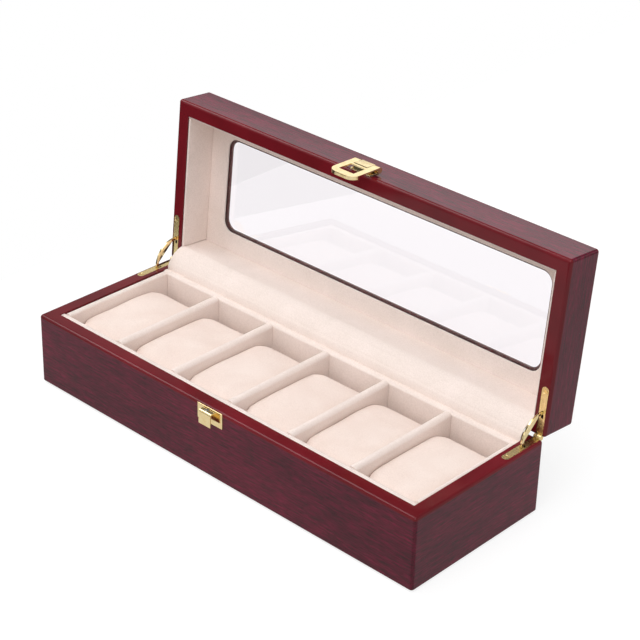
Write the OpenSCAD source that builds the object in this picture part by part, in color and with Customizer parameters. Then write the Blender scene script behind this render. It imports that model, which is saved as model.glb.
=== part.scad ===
// Watch box with a hinged, glazed lid, six watch pillows and a small brass hasp.
// Millimetres. X runs along the length, Y towards the hinges, Z up.
// The origin is the centre of the underside. The lid stands open on its stays.

/* [Case] */
// Overall length of the case
case_w = 310; // [250:1:400]
// Overall depth of the case, front to back
case_d = 110; // [96:1:150]
// Height of the base, underside to rim
base_h = 48.2; // [46:0.2:80]
// Height of the lid, rim to top
lid_h = 26.7; // [24:0.1:50]
// Thickness of the lacquered side walls
wall_t = 9; // [8.6:0.1:12]
// Gap between the two rims when the lid is shut
rim_gap = 0.5; // [0.3:0.1:1]
// Rounding of the outer edges
edge_r = 2; // [0.8:0.1:3]
// Rounding of the lowest edge of the base
foot_r = 0.8; // [0.4:0.1:2]
// Opening angle of the lid on its stays
lid_open = 95; // [90:1:100]

/* [Bottom] */
// Thickness of the velvet pad under the base
felt_t = 0.8; // [0.6:0.1:2]
// Distance of the pad's edge from the outer faces
felt_inset = 1.5; // [1:0.1:5]
// Thickness of the bottom panel
panel_t = 3.5; // [2.5:0.1:6]

/* [Base lining] */
// Thickness of the padded lining at the two ends
side_lining_t = 4; // [2:0.1:6]
// Thickness of the padded lining at the front and back
long_lining_t = 5; // [2:0.1:7]
// Thickness of the floor lining
floor_lining_t = 1.2; // [0.8:0.1:3]
// Depth of the lining's top edge below the rim
lining_drop = 0.8; // [0.4:0.1:3]
// Thickness of a divider
divider_t = 5.5; // [3:0.1:8]
// Number of watch compartments
pillow_count = 6; // [6:1:6]
// Gap between neighbouring soft pieces
soft_gap = 0.2; // [0.1:0.05:0.5]

/* [Pillows] */
// Gap between a pillow and the walls at its sides and front
pillow_gap = 0.6; // [0.3:0.1:1.5]
// Gap between a pillow and the lining behind it
pillow_back_gap = 5; // [0.5:0.1:8]
// Depth of the pillow's crown below the rim
pillow_drop = 4.8; // [4.6:0.1:12]
// Roundness of the pillow's section: 2 is an ellipse, higher is squarer
pillow_power = 3.6; // [2.5:0.1:6]

/* [Lid] */
// Thickness of the lid's side linings
lid_lining_t = 1.5; // [1:0.1:3]
// Thickness of the lining under the lid's top
top_lining_t = 1.2; // [0.8:0.1:2]
// Thickness of the wooden window frame
frame_t = 3.2; // [2.8:0.1:8]
// Length of the window opening
window_w = 257; // [180:1:290]
// Depth of the window opening, front to back
window_d = 61; // [40:1:76]
// Radius of the window's corners
window_r = 7; // [3:0.5:15]
// Width by which the lining's opening is larger than the frame's, per side
reveal = 1.5; // [0.5:0.1:3]
// Thickness of the glass
glass_t = 1.5; // [1:0.1:2]
// Width by which the glass passes behind the frame, per side
glass_lap = 4; // [3:0.1:6]
// Clearance round the glass
glass_gap = 0.2; // [0.1:0.05:0.5]

/* [Lid hinges] */
// Width of a hinge leaf
leaf_w = 4.6; // [4.4:0.1:5.2]
// Length of a hinge leaf, from its pin to its rounded end
leaf_len = 31.6; // [29:0.1:38]
// Thickness of a hinge leaf
leaf_t = 1.5; // [1.2:0.1:1.8]
// Depth of the stepped part of a leaf, next to the barrel
leaf_step = 0.6; // [0.3:0.1:0.7]
// Radius of the hinge barrel
barrel_r = 1.8; // [1.6:0.05:2]
// Radius of the hinge pin
pin_r = 0.9; // [0.7:0.05:1]
// Radial clearance of the hinge pin
pin_fit = 0.05; // [0.03:0.01:0.1]
// Distance of the pin behind the back face
pin_set = 0.3; // [0.2:0.05:0.5]
// Clearance round the barrel in wood and in the other leaf
notch_gap = 0.25; // [0.15:0.05:0.4]
// Gap between knuckles
knuckle_gap = 0.1; // [0.05:0.05:0.2]
// Clearance between metal and the wood round it
wood_gap = 0.1; // [0.05:0.05:0.2]
// Distance of a leaf's step from the pin
step_in = 14.3; // [13:0.1:15]
// Distance of a leaf's screw from its rounded end
leaf_screw_in = 2.8; // [2.6:0.1:5]
// Distance of the hinges from the middle of the side walls, outwards
hinge_off = 0.3; // [0:0.1:0.5]

/* [Lid stays] */
// Radius of the outer edge of the curved stay arms
arm_r = 16.1; // [15:0.1:17]
// Width of a stay arm at its middle
arm_mid_w = 4.3; // [3:0.1:4.6]
// Width of a stay arm at its ends
arm_end_w = 1.8; // [1.5:0.1:2.4]
// Thickness of a stay arm
arm_t = 1.2; // [1:0.1:1.4]
// Angle by which an arm passes beyond each leaf when the lid is open
arm_tail = 11; // [10:0.5:14]
// Angle taken by the stop head at each end of an arm
head_angle = 3; // [2:0.5:4]
// Thickness of a stop head
head_t = 2; // [1.8:0.1:2.2]
// Clearance round a stay arm
arm_gap = 0.2; // [0.15:0.05:0.3]
// Distance of the end of an arm's pocket from the pin
pocket_in = 5; // [4:0.5:8]

/* [Screws] */
// Radius of a screw's head
screw_head_r = 1.5; // [1.2:0.05:1.7]
// Height of a countersunk head
screw_head_h = 0.9; // [0.6:0.1:1.1]
// Radius of a screw's shank
screw_r = 0.75; // [0.6:0.05:0.9]
// Length of a screw below its head
screw_len = 6; // [4:0.5:7]
// Clearance round a shank
screw_gap = 0.05; // [0.02:0.01:0.1]
// Width of a driver slot
slot_w = 0.4; // [0.3:0.05:0.5]
// Depth of a driver slot
slot_deep = 0.35; // [0.2:0.05:0.4]

/* [Hasp] */
// Width of the hasp's flap
flap_w = 20; // [18:0.5:26]
// Length of the flap, from its pin to its free end
flap_len = 23.6; // [20:0.1:26]
// Thickness of the flap
flap_t = 0.8; // [0.6:0.05:1]
// Radius of the flap's free corners
flap_r = 5.5; // [4:0.25:6.5]
// Depth of the flange along the free end, behind the flap
lip_h = 1.5; // [1:0.1:1.8]
// Angle by which the flap hangs in towards the box when the lid is open
flap_droop = 3; // [0:0.5:4]
// Width of the flap's window
flap_window_w = 11.6; // [11:0.1:12]
// Length of the flap's window
flap_window_l = 10.6; // [10.2:0.1:11]
// Distance of the window from the free end
flap_bar = 5; // [4:0.1:5.4]
// Height of the flap's pin above the rim of the shut lid
hasp_pin_up = 7.1; // [7:0.1:8]
// Distance of the flap's pin from the front face
hasp_pin_out = 3; // [2.8:0.1:3.4]
// Distance by which the hasp stands off centre, to the left
hasp_shift = 0.4; // [0:0.1:0.8]
// Radius of the hasp's barrel
hasp_barrel_r = 1.9; // [1.7:0.05:2]
// Radius of the hasp's pin
hasp_pin_r = 0.8; // [0.6:0.05:0.9]
// Width of the fixed block between the flap's two arms
hasp_block_w = 10.4; // [9:0.1:11]
// Reach of the fixed block below the pin
hasp_block_down = 6.2; // [5:0.1:6.3]
// Reach of the fixed block above the pin
hasp_block_up = 1.6; // [1:0.1:1.9]
// Gap between the fixed block and the bar of the flap below it
hasp_block_gap = 0.4; // [0.3:0.05:0.6]
// Thickness of the mounting plate
mount_t = 0.9; // [0.7:0.05:1]
// Width of the mounting plate
mount_w = 16; // [15:0.5:18]
// Length of the mounting plate below the pin
mount_down = 6.3; // [5:0.1:6.4]
// Length of the mounting plate above the pin
mount_up = 1.6; // [0:0.1:1.9]
// Radius of a nail
nail_r = 0.5; // [0.4:0.05:0.6]
// Radius of a nail's domed head
nail_head_r = 1; // [0.8:0.05:1.1]
// Height of a nail's head
nail_head_h = 0.4; // [0.3:0.05:0.5]
// Length of a nail
nail_len = 5; // [3:0.5:6]
// Spacing of the two nails
nail_pitch = 13.3; // [13:0.1:13.6]

/* [Catch] */
// Width of the catch plate
catch_w = 20.3; // [18:0.1:26]
// Height of the catch plate
catch_h = 10.2; // [10:0.1:12]
// Thickness of the catch plate
catch_t = 0.8; // [0.6:0.05:0.9]
// Depth of the plate's top below the rim
catch_drop = 0.1; // [0.1:0.05:0.3]
// Distance by which the catch stands off centre, to the left
catch_shift = 1.1; // [0.4:0.1:1.2]
// Width of the folded tongue
tongue_w = 9.8; // [8:0.1:10]
// Height of the folded tongue
tongue_h = 9.1; // [8:0.1:9.2]
// Distance of the tongue's outer face from the front face
tongue_out = 5; // [4.6:0.1:5]
// Radius of the tongue's fold
fold_r = 1.6; // [1.2:0.1:2]
// Distance of the tongue's top from the plate's top
tongue_down = 0.8; // [0.7:0.05:1]
// Distance of the screw in the tongue from its middle, to the left
catch_screw_left = 0.6; // [0:0.1:2]
// Distance of the screw in the tongue from the plate
catch_screw_out = 1.6; // [1.5:0.1:1.8]
// Radius of that screw's head
catch_head_r = 1.5; // [1.2:0.1:1.5]
// Height of that screw's head
catch_head_h = 0.4; // [0.3:0.05:0.4]
// Length of that screw below its head
catch_screw_len = 2.4; // [2:0.1:4]

/* [Hinge cloth] */
// Thickness of the cloth over the hinge line
cloth_t = 0.5; // [0.3:0.05:0.6]
// Height of the cloth on the open lid
cloth_up = 11; // [6:0.5:14]
// Distance of the cloth's ends from the side walls
cloth_end = 1.5; // [1:0.1:6]

/* [Hidden] */
$fn = 64;

// Half sizes and the faces inside the walls
half_w = case_w / 2;
half_d = case_d / 2;
in_w = half_w - wall_t;
in_d = half_d - wall_t;
cell_w = in_w - side_lining_t;
cell_d = in_d - long_lining_t;

// Heights, from the underside up
panel_z = felt_t + panel_t;
floor_z = panel_z + floor_lining_t;
lining_z = base_h - lining_drop;
lid_z = base_h + rim_gap;
lid_top_z = lid_z + lid_h;
frame_z = lid_top_z - frame_t;
roof_z = frame_z - top_lining_t;

// Compartments
bay_w = (2 * cell_w - (pillow_count - 1) * divider_t) / pillow_count;
bay_pitch = bay_w + divider_t;
pillow_w = bay_w - 2 * pillow_gap;
pillow_half_d = cell_d - (pillow_gap + pillow_back_gap) / 2;
pillow_mid_y = (pillow_gap - pillow_back_gap) / 2;
pillow_low = floor_z + soft_gap;
pillow_top = base_h - pillow_drop;
pillow_mid = (pillow_low + pillow_top) / 2;
pillow_half_h = (pillow_top - pillow_low) / 2;
pillow_steps = 12;

// Lid hinges: the pin lies between the rims, just behind the back face
pin_y = half_d + pin_set;
pin_z = base_h + rim_gap / 2;
hinge_x = half_w - wall_t / 2 + hinge_off;
knuckle_w = (leaf_w - 2 * knuckle_gap) / 3;
notch_r = barrel_r + notch_gap;
step_y = pin_y - step_in;
leaf_end_y = pin_y - leaf_len + leaf_w / 2;
leaf_screw_y = pin_y - leaf_len + leaf_screw_in;
arm_in_r = arm_r - arm_mid_w;
pocket_y = pin_y - pocket_in;
over = 1;
reach = 60;

// Hasp and catch, on the front face
hasp_y = -half_d - hasp_pin_out;
hasp_z = lid_z + hasp_pin_up;
flap_arm_w = (flap_w - hasp_block_w) / 2 - knuckle_gap;
catch_top_z = base_h - catch_drop;
catch_low_z = catch_top_z - catch_h;
tongue_top_z = catch_top_z - tongue_down;
catch_screw_x = -catch_shift - catch_screw_left;
catch_screw_y = -half_d - catch_t - catch_screw_out;

// Turns the lid's pieces, drawn shut, to the open pose
module opened() {
    translate([0, pin_y, pin_z])
        rotate([-lid_open, 0, 0])
            translate([0, -pin_y, -pin_z])
                children();
}

// Mirrors a right-hand piece to the left when side is -1
module on_side(side) {
    mirror([side < 0 ? 1 : 0, 0, 0]) children();
}

// Box between two corners
module span(low, high) {
    translate(low) cube(high - low);
}

// Cylinder along X, centred on x = mid
module rod_x(radius, length, mid, y, z) {
    translate([mid - length / 2, y, z]) rotate([0, 90, 0]) cylinder(r = radius, h = length);
}

// Rectangle with its top and bottom corners rounded
module eased(w, low, high, r_low, r_high) {
    intersection() {
        translate([-w / 2, low]) square([w, high - low]);
        union() {
            translate([-w / 2, low + r_low]) square([w, high - low - r_low - r_high]);
            translate([-w / 2 + r_low, low]) square([w - 2 * r_low, r_low]);
            translate([-w / 2 + r_high, high - r_high]) square([w - 2 * r_high, r_high]);
            for (side = [-1, 1]) {
                translate([side * (w / 2 - r_low), low + r_low]) circle(r = r_low);
                translate([side * (w / 2 - r_high), high - r_high]) circle(r = r_high);
            }
        }
    }
}

// Case block from low to high with rounded outer edges
module case_block(low, high, r_low, r_high) {
    intersection() {
        translate([0, 0, low]) linear_extrude(high - low) eased(case_w, -half_d, half_d, edge_r, edge_r);
        translate([0, half_d, 0]) rotate([90, 0, 0])
            linear_extrude(case_d) eased(case_w, low, high, r_low, r_high);
        translate([-half_w, 0, 0]) rotate([90, 0, 90])
            linear_extrude(case_w) eased(case_d, low, high, r_low, r_high);
    }
}

module base_block() {
    case_block(felt_t, base_h, foot_r, edge_r);
}

module lid_block() {
    case_block(lid_z, lid_top_z, edge_r, edge_r);
}

// Rounded rectangle
module soft_rect(w, d, r) {
    square([w - 2 * r, d], center = true);
    square([w, d - 2 * r], center = true);
    for (x = [-1, 1], y = [-1, 1]) {
        translate([x * (w / 2 - r), y * (d / 2 - r)]) circle(r = r);
    }
}

// Countersunk slotted screw, head up, its top at the origin
module screw() {
    difference() {
        union() {
            translate([0, 0, -screw_head_h]) cylinder(r1 = screw_r, r2 = screw_head_r, h = screw_head_h);
            translate([0, 0, -screw_head_h - screw_len]) cylinder(r = screw_r, h = screw_len);
        }
        translate([-screw_head_r, -slot_w / 2, -slot_deep])
            cube([2 * screw_head_r, slot_w, slot_deep + over]);
    }
}

// Hole that a screw needs in a leaf or a plate and in the wood under it
module screw_hole() {
    translate([0, 0, -screw_head_h])
        cylinder(r1 = screw_r + screw_gap, r2 = screw_head_r + screw_gap, h = screw_head_h);
    translate([0, 0, -screw_head_h - screw_len - screw_gap])
        cylinder(r = screw_r + screw_gap, h = screw_len + 2 * screw_gap);
    cylinder(r = screw_head_r + screw_gap, h = over);
}

// ---- Hinge cuts in the side walls, drawn on the right, lid shut ----

// Ring round the pin in which a stay arm runs
module arm_pocket() {
    intersection() {
        difference() {
            rod_x(arm_r + arm_gap, head_t + 2 * arm_gap, hinge_x, pin_y, pin_z);
            rod_x(arm_in_r - arm_gap, head_t + 2 * arm_gap + over, hinge_x, pin_y, pin_z);
        }
        span([0, -half_d, -reach], [case_w, pocket_y, 2 * reach]);
    }
}

// Mortise for a leaf between two heights
module leaf_mortise(low, high) {
    side = leaf_w / 2 + wood_gap;
    span([hinge_x - side, leaf_end_y, low], [hinge_x + side, pin_y + barrel_r + over, high]);
    translate([hinge_x, leaf_end_y, low]) cylinder(r = side, h = high - low);
}

module barrel_notch() {
    rod_x(notch_r, leaf_w + 2 * wood_gap, hinge_x, pin_y, pin_z);
}

module base_hinge_cuts() {
    arm_pocket();
    barrel_notch();
    leaf_mortise(base_h - leaf_t - wood_gap, base_h + over);
    translate([hinge_x, leaf_screw_y, base_h]) screw_hole();
}

module lid_hinge_cuts() {
    arm_pocket();
    barrel_notch();
    leaf_mortise(lid_z - over, lid_z + leaf_t + wood_gap);
    translate([hinge_x, leaf_screw_y, lid_z]) mirror([0, 0, 1]) screw_hole();
}

// ---- Base case ----

module base_front_wall() {
    color("#5a3339")
        intersection() {
            base_block();
            span([-half_w, -half_d, 0], [half_w, -in_d, base_h]);
        }
}

module base_back_wall() {
    color("#5a3339")
        intersection() {
            base_block();
            span([-in_w, in_d, 0], [in_w, half_d, base_h]);
        }
}

module base_end_wall(side) {
    color("#56303a")
        on_side(side)
            difference() {
                intersection() {
                    base_block();
                    span([in_w, -in_d, 0], [half_w, half_d, base_h]);
                }
                base_hinge_cuts();
            }
}

module base_left_wall() {
    base_end_wall(-1);
}

module base_right_wall() {
    base_end_wall(1);
}

module base_bottom_panel() {
    color("#6b4a3a") span([-in_w, -in_d, felt_t], [in_w, in_d, panel_z]);
}

module base_felt_pad() {
    color("#3a1418")
        linear_extrude(felt_t)
            soft_rect(case_w - 2 * felt_inset, case_d - 2 * felt_inset, edge_r);
}

// ---- Base lining ----

module base_floor_lining() {
    color("#f3e0d8") span([-in_w, -in_d, panel_z], [in_w, in_d, floor_z]);
}

// Padded strip along X with a rounded top
module padded_strip(length, thick, low, high) {
    round_r = thick / 2;
    span([-length / 2, -round_r, low], [length / 2, round_r, high - round_r]);
    rod_x(round_r, length, 0, 0, high - round_r);
}

module base_long_lining(side) {
    color("#f6e6de")
        translate([0, side * (in_d - long_lining_t / 2), 0])
            padded_strip(2 * in_w, long_lining_t, floor_z, lining_z);
}

module base_front_lining() {
    base_long_lining(-1);
}

module base_back_lining() {
    base_long_lining(1);
}

module base_end_lining(side) {
    color("#f6e6de")
        translate([side * (in_w - side_lining_t / 2), 0, 0])
            rotate([0, 0, 90])
                padded_strip(2 * (cell_d - soft_gap), side_lining_t, floor_z, lining_z);
}

module base_left_lining() {
    base_end_lining(-1);
}

module base_right_lining() {
    base_end_lining(1);
}

module divider(number) {
    color("#f6e6de")
        translate([-cell_w + number * bay_pitch - divider_t / 2, 0, 0])
            rotate([0, 0, 90])
                padded_strip(2 * (cell_d - soft_gap), divider_t, floor_z, lining_z);
}

module divider_1() {
    divider(1);
}

module divider_2() {
    divider(2);
}

module divider_3() {
    divider(3);
}

module divider_4() {
    divider(4);
}

module divider_5() {
    divider(5);
}

// ---- Pillows ----

function pillow_reach(turn) = pow(abs(turn), 2 / pillow_power) * sign(turn);

function pillow_outline() = [
    for (i = [0 : 4 * pillow_steps - 1])
        let (turn = 90 * (i + 0.5) / pillow_steps)
            [
                pillow_mid_y + pillow_half_d * pillow_reach(cos(turn)),
                pillow_mid + pillow_half_h * pillow_reach(sin(turn))
            ]
];

module pillow(number) {
    color("#f8e6de")
        translate([-cell_w + (number - 1) * bay_pitch + pillow_gap, 0, 0])
            rotate([90, 0, 90])
                linear_extrude(pillow_w)
                    polygon(pillow_outline());
}

module pillow_1() {
    pillow(1);
}

module pillow_2() {
    pillow(2);
}

module pillow_3() {
    pillow(3);
}

module pillow_4() {
    pillow(4);
}

module pillow_5() {
    pillow(5);
}

module pillow_6() {
    pillow(6);
}

// ---- Lid case ----

module lid_front_wall() {
    color("#7a4a55")
        opened()
            difference() {
                intersection() {
                    lid_block();
                    span([-half_w, -half_d, lid_z], [half_w, -in_d, lid_top_z]);
                }
                translate([-hasp_shift, hasp_y, hasp_z])
                    hasp_nail_places() cylinder(r = nail_r + screw_gap, h = nail_len + screw_gap);
            }
}

module lid_back_wall() {
    color("#5a3339")
        opened()
            intersection() {
                lid_block();
                span([-in_w, in_d, lid_z], [in_w, half_d, lid_top_z]);
            }
}

module lid_end_wall(side) {
    color("#604048")
        opened()
            on_side(side)
                difference() {
                    intersection() {
                        lid_block();
                        span([in_w, -in_d, lid_z], [half_w, half_d, lid_top_z]);
                    }
                    lid_hinge_cuts();
                }
}

module lid_left_wall() {
    lid_end_wall(-1);
}

module lid_right_wall() {
    lid_end_wall(1);
}

module lid_window_frame() {
    rebate_w = window_w + 2 * glass_lap;
    rebate_d = window_d + 2 * glass_lap;
    color("#6a3a44")
        opened()
            difference() {
                span([-in_w, -in_d, frame_z], [in_w, in_d, lid_top_z]);
                translate([0, 0, frame_z - over])
                    linear_extrude(frame_t + 2 * over) soft_rect(window_w, window_d, window_r);
                translate([0, 0, frame_z - over])
                    linear_extrude(glass_t + glass_gap + over) soft_rect(rebate_w, rebate_d, window_r);
            }
}

module window_glass() {
    glass_w = window_w + 2 * (glass_lap - glass_gap);
    glass_d = window_d + 2 * (glass_lap - glass_gap);
    color("#e6ecf0", 0.35)
        opened()
            translate([0, 0, frame_z + glass_gap / 2])
                linear_extrude(glass_t) soft_rect(glass_w, glass_d, window_r);
}

// ---- Lid lining ----

module lid_top_lining() {
    color("#f6e6de")
        opened()
            difference() {
                span([-in_w, -in_d, roof_z], [in_w, in_d, frame_z]);
                translate([0, 0, roof_z - over])
                    linear_extrude(top_lining_t + 2 * over)
                        soft_rect(window_w + 2 * reveal, window_d + 2 * reveal, window_r);
            }
}

module lid_long_lining(side) {
    color("#f6e6de")
        opened()
            translate([0, side * (in_d - lid_lining_t / 2), (lid_z + lining_drop + roof_z) / 2])
                cube([2 * in_w, lid_lining_t, roof_z - lid_z - lining_drop], center = true);
}

module lid_front_lining() {
    lid_long_lining(-1);
}

module lid_back_lining() {
    lid_long_lining(1);
}

module lid_end_lining(side) {
    length = 2 * (in_d - lid_lining_t - soft_gap);
    color("#f6e6de")
        opened()
            translate([side * (in_w - lid_lining_t / 2), 0, (lid_z + lining_drop + roof_z) / 2])
                cube([lid_lining_t, length, roof_z - lid_z - lining_drop], center = true);
}

module lid_left_lining() {
    lid_end_lining(-1);
}

module lid_right_lining() {
    lid_end_lining(1);
}

// ---- Lid hinges, drawn on the right, lid shut ----

// Flat of a leaf from its rounded end to the pin, between two heights
module leaf_flat(low, high) {
    span([hinge_x - leaf_w / 2, leaf_end_y, low], [hinge_x + leaf_w / 2, pin_y, high]);
    translate([hinge_x, leaf_end_y, low]) cylinder(d = leaf_w, h = high - low);
}

// Slot through a leaf for the stay arm
module arm_slot() {
    side = arm_t / 2 + arm_gap;
    span([hinge_x - side, pin_y - arm_r - arm_gap, pin_z - reach],
         [hinge_x + side, pin_y - arm_in_r + arm_gap, pin_z + reach]);
}

module base_leaf(side) {
    outer_x = knuckle_w + knuckle_gap;
    color("#e8c878")
        on_side(side)
            difference() {
                union() {
                    leaf_flat(base_h - leaf_t, base_h);
                    for (turn = [-1, 1]) {
                        rod_x(barrel_r, knuckle_w, hinge_x + turn * outer_x, pin_y, pin_z);
                    }
                }
                rod_x(pin_r + pin_fit, leaf_w + over, hinge_x, pin_y, pin_z);
                rod_x(notch_r, knuckle_w + 2 * knuckle_gap, hinge_x, pin_y, pin_z);
                arm_slot();
                span([0, step_y, base_h - leaf_step], [case_w, pin_y - barrel_r, base_h + over]);
                translate([hinge_x, leaf_screw_y, base_h]) screw_hole();
            }
}

module base_hinge_leaf_left() {
    base_leaf(-1);
}

module base_hinge_leaf_right() {
    base_leaf(1);
}

module lid_leaf(side) {
    color("#e8c878")
        opened()
            on_side(side)
                difference() {
                    union() {
                        leaf_flat(lid_z, lid_z + leaf_t);
                        rod_x(barrel_r, knuckle_w, hinge_x, pin_y, pin_z);
                    }
                    rod_x(pin_r + pin_fit, leaf_w + over, hinge_x, pin_y, pin_z);
                    for (turn = [-1, 1]) {
                        cut_x = hinge_x + turn * (leaf_w / 2 + knuckle_w / 2 + knuckle_gap) / 2;
                        cut_w = leaf_w / 2 - knuckle_w / 2;
                        rod_x(notch_r, cut_w, cut_x, pin_y, pin_z);
                    }
                    arm_slot();
                    span([0, step_y, lid_z - over], [case_w, pin_y - barrel_r, lid_z + leaf_step]);
                    translate([hinge_x, leaf_screw_y, lid_z]) mirror([0, 0, 1]) screw_hole();
                }
}

module lid_hinge_leaf_left() {
    lid_leaf(-1);
}

module lid_hinge_leaf_right() {
    lid_leaf(1);
}

module base_hinge_screws() {
    color("#d8b060")
        for (side = [-1, 1]) {
            translate([side * hinge_x, leaf_screw_y, base_h]) screw();
        }
}

module lid_hinge_screws() {
    color("#d8b060")
        opened()
            for (side = [-1, 1]) {
                translate([side * hinge_x, leaf_screw_y, lid_z]) mirror([0, 0, 1]) screw();
            }
}

module hinge_pins() {
    color("#d8b060")
        for (side = [-1, 1]) {
            rod_x(pin_r, leaf_w, side * hinge_x, pin_y, pin_z);
        }
}

// ---- Stay arms ----

// Part of a ring round the pin, between two angles up from the base's rim
module ring_part(thick, from, to) {
    middle = (from + to) / 2;
    intersection() {
        difference() {
            rod_x(arm_r, thick, hinge_x, pin_y, pin_z);
            rod_x(arm_r - arm_end_w, thick + over, hinge_x, pin_y, pin_z);
        }
        translate([hinge_x - thick, pin_y, pin_z])
            rotate([90, 0, 90])
                linear_extrude(2 * thick)
                    polygon([
                        [0, 0],
                        [-reach * cos(from), reach * sin(from)],
                        [-reach * cos(middle), reach * sin(middle)],
                        [-reach * cos(to), reach * sin(to)]
                    ]);
    }
}

// Middle of an arm, round outside and straight inside
module arm_middle() {
    intersection() {
        rod_x(arm_r, arm_t, hinge_x, pin_y, pin_z);
        translate([hinge_x, pin_y, pin_z])
            rotate([-lid_open / 2, 0, 0])
                span([-arm_t, -arm_r - over, -arm_r], [arm_t, -arm_in_r, arm_r]);
    }
}

module stay_arm(side) {
    last = lid_open + arm_tail;
    color("#f0dca0")
        on_side(side) {
            ring_part(arm_t, -arm_tail, last);
            arm_middle();
            ring_part(head_t, -arm_tail, -arm_tail + head_angle);
            ring_part(head_t, last - head_angle, last);
        }
}

module stay_arm_left() {
    stay_arm(-1);
}

module stay_arm_right() {
    stay_arm(1);
}

// ---- Catch on the base ----

module catch_plate() {
    face_y = -half_d;
    low_x = -catch_shift - tongue_w / 2;
    high_x = -catch_shift + tongue_w / 2;
    front_y = face_y - tongue_out;
    fold_y = front_y + fold_r;
    fold_z = tongue_top_z - fold_r;
    color("#f0dca0")
        difference() {
            union() {
                span([-catch_shift - catch_w / 2, face_y - catch_t, catch_low_z],
                     [-catch_shift + catch_w / 2, face_y, catch_top_z]);
                span([low_x, fold_y, tongue_top_z - catch_t], [high_x, face_y, tongue_top_z]);
                span([low_x, front_y, tongue_top_z - tongue_h], [high_x, front_y + catch_t, fold_z]);
                intersection() {
                    difference() {
                        rod_x(fold_r, tongue_w, -catch_shift, fold_y, fold_z);
                        rod_x(fold_r - catch_t, tongue_w + over, -catch_shift, fold_y, fold_z);
                    }
                    span([low_x, front_y, fold_z], [high_x, fold_y, tongue_top_z]);
                }
            }
            translate([catch_screw_x, catch_screw_y, tongue_top_z - catch_t - over])
                cylinder(r = screw_r + screw_gap, h = catch_t + 2 * over);
        }
}

module catch_screw() {
    color("#8a8478")
        translate([catch_screw_x, catch_screw_y, tongue_top_z])
            difference() {
                union() {
                    cylinder(r1 = catch_head_r, r2 = 0.7 * catch_head_r, h = catch_head_h);
                    translate([0, 0, -catch_screw_len]) cylinder(r = screw_r, h = catch_screw_len);
                }
                translate([-catch_head_r, -slot_w / 2, catch_head_h - slot_deep])
                    cube([2 * catch_head_r, slot_w, slot_deep + over]);
            }
}

// ---- Hasp on the lid, drawn shut, with its pin at the origin ----

// Puts its children, drawn round the hasp's pin, on the open lid
module on_hasp() {
    opened() translate([-hasp_shift, hasp_y, hasp_z]) children();
}

// Puts its children at each nail, pointing into the wood
module hasp_nail_places() {
    for (x = [-nail_pitch / 2, nail_pitch / 2]) {
        translate([x, hasp_pin_out, 2 * nail_head_r - mount_down]) rotate([-90, 0, 0]) children();
    }
}

module hasp_mount_plate() {
    color("#e8c878")
        on_hasp()
            difference() {
                union() {
                    span([-mount_w / 2, hasp_pin_out - mount_t, -mount_down],
                         [mount_w / 2, hasp_pin_out, mount_up]);
                    span([-hasp_block_w / 2, -hasp_barrel_r, -hasp_block_down],
                         [hasp_block_w / 2, hasp_pin_out, hasp_block_up]);
                }
                rod_x(hasp_pin_r + pin_fit, hasp_block_w + over, 0, 0, 0);
                hasp_nail_places()
                    translate([0, 0, -mount_t - over])
                        cylinder(r = nail_r + screw_gap, h = mount_t + 2 * over);
            }
}

module hasp_nails() {
    color("#b08840")
        on_hasp()
            hasp_nail_places() {
                translate([0, 0, -mount_t]) cylinder(r = nail_r, h = mount_t + nail_len);
                translate([0, 0, -mount_t - nail_head_h])
                    cylinder(r1 = nail_r, r2 = nail_head_r, h = nail_head_h);
            }
}

module hasp_pin() {
    color("#d8b060") on_hasp() rod_x(hasp_pin_r, flap_w, 0, 0, 0);
}

// Outline of the flap, X across and Y up, its pin at Y = 0, brought in at its sides and free end
module flap_outline(inset) {
    half = flap_w / 2 - inset;
    corner_r = flap_r - inset;
    corner_y = -flap_len + flap_r;
    translate([-half, corner_y]) square([2 * half, -corner_y]);
    translate([corner_r - half, -flap_len + inset]) square([2 * (half - corner_r), corner_r]);
    for (side = [-1, 1]) {
        translate([side * (half - corner_r), corner_y]) circle(r = corner_r);
    }
}

// Flange along the flap's rounded free end
module flap_flange() {
    intersection() {
        difference() {
            flap_outline(0);
            flap_outline(flap_t);
        }
        translate([-flap_w / 2, -flap_len]) square([flap_w, flap_r]);
    }
}

module hasp_flap() {
    block_side = hasp_block_w / 2 + knuckle_gap;
    arm_x = block_side + flap_arm_w / 2;
    root_z = -hasp_block_down - hasp_block_gap;
    inner_y = -hasp_barrel_r + flap_t;
    window_z = -flap_len + flap_bar;
    color("#f0dca0")
        on_hasp()
            rotate([flap_droop, 0, 0])
                difference() {
                    union() {
                        translate([0, inner_y, 0])
                            rotate([90, 0, 0]) linear_extrude(flap_t) flap_outline(0);
                        translate([0, inner_y + lip_h, 0])
                            rotate([90, 0, 0]) linear_extrude(lip_h) flap_flange();
                        for (side = [-1, 1]) {
                            rod_x(hasp_barrel_r, flap_arm_w, side * arm_x, 0, 0);
                        }
                    }
                    rod_x(hasp_pin_r + pin_fit, flap_w + over, 0, 0, 0);
                    span([-block_side, -hasp_barrel_r - over, root_z],
                         [block_side, hasp_barrel_r, hasp_barrel_r]);
                    span([-flap_window_w / 2, -hasp_barrel_r - over, window_z],
                         [flap_window_w / 2, inner_y + over, window_z + flap_window_l]);
                }
}

// ---- Cloth over the hinge line ----

module hinge_cover_cloth() {
    length = 2 * (in_w - cloth_end);
    low_y = in_d;
    face_y = half_d;
    color("#f3e0d8")
        translate([-length / 2, 0, 0])
            rotate([90, 0, 90])
                linear_extrude(length)
                    polygon([
                        [low_y, base_h + soft_gap],
                        [face_y, base_h + soft_gap],
                        [face_y, base_h + cloth_up],
                        [face_y - cloth_t, base_h + cloth_up],
                        [face_y - cloth_t, base_h + soft_gap + cloth_t],
                        [low_y, base_h + soft_gap + cloth_t]
                    ]);
}

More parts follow.
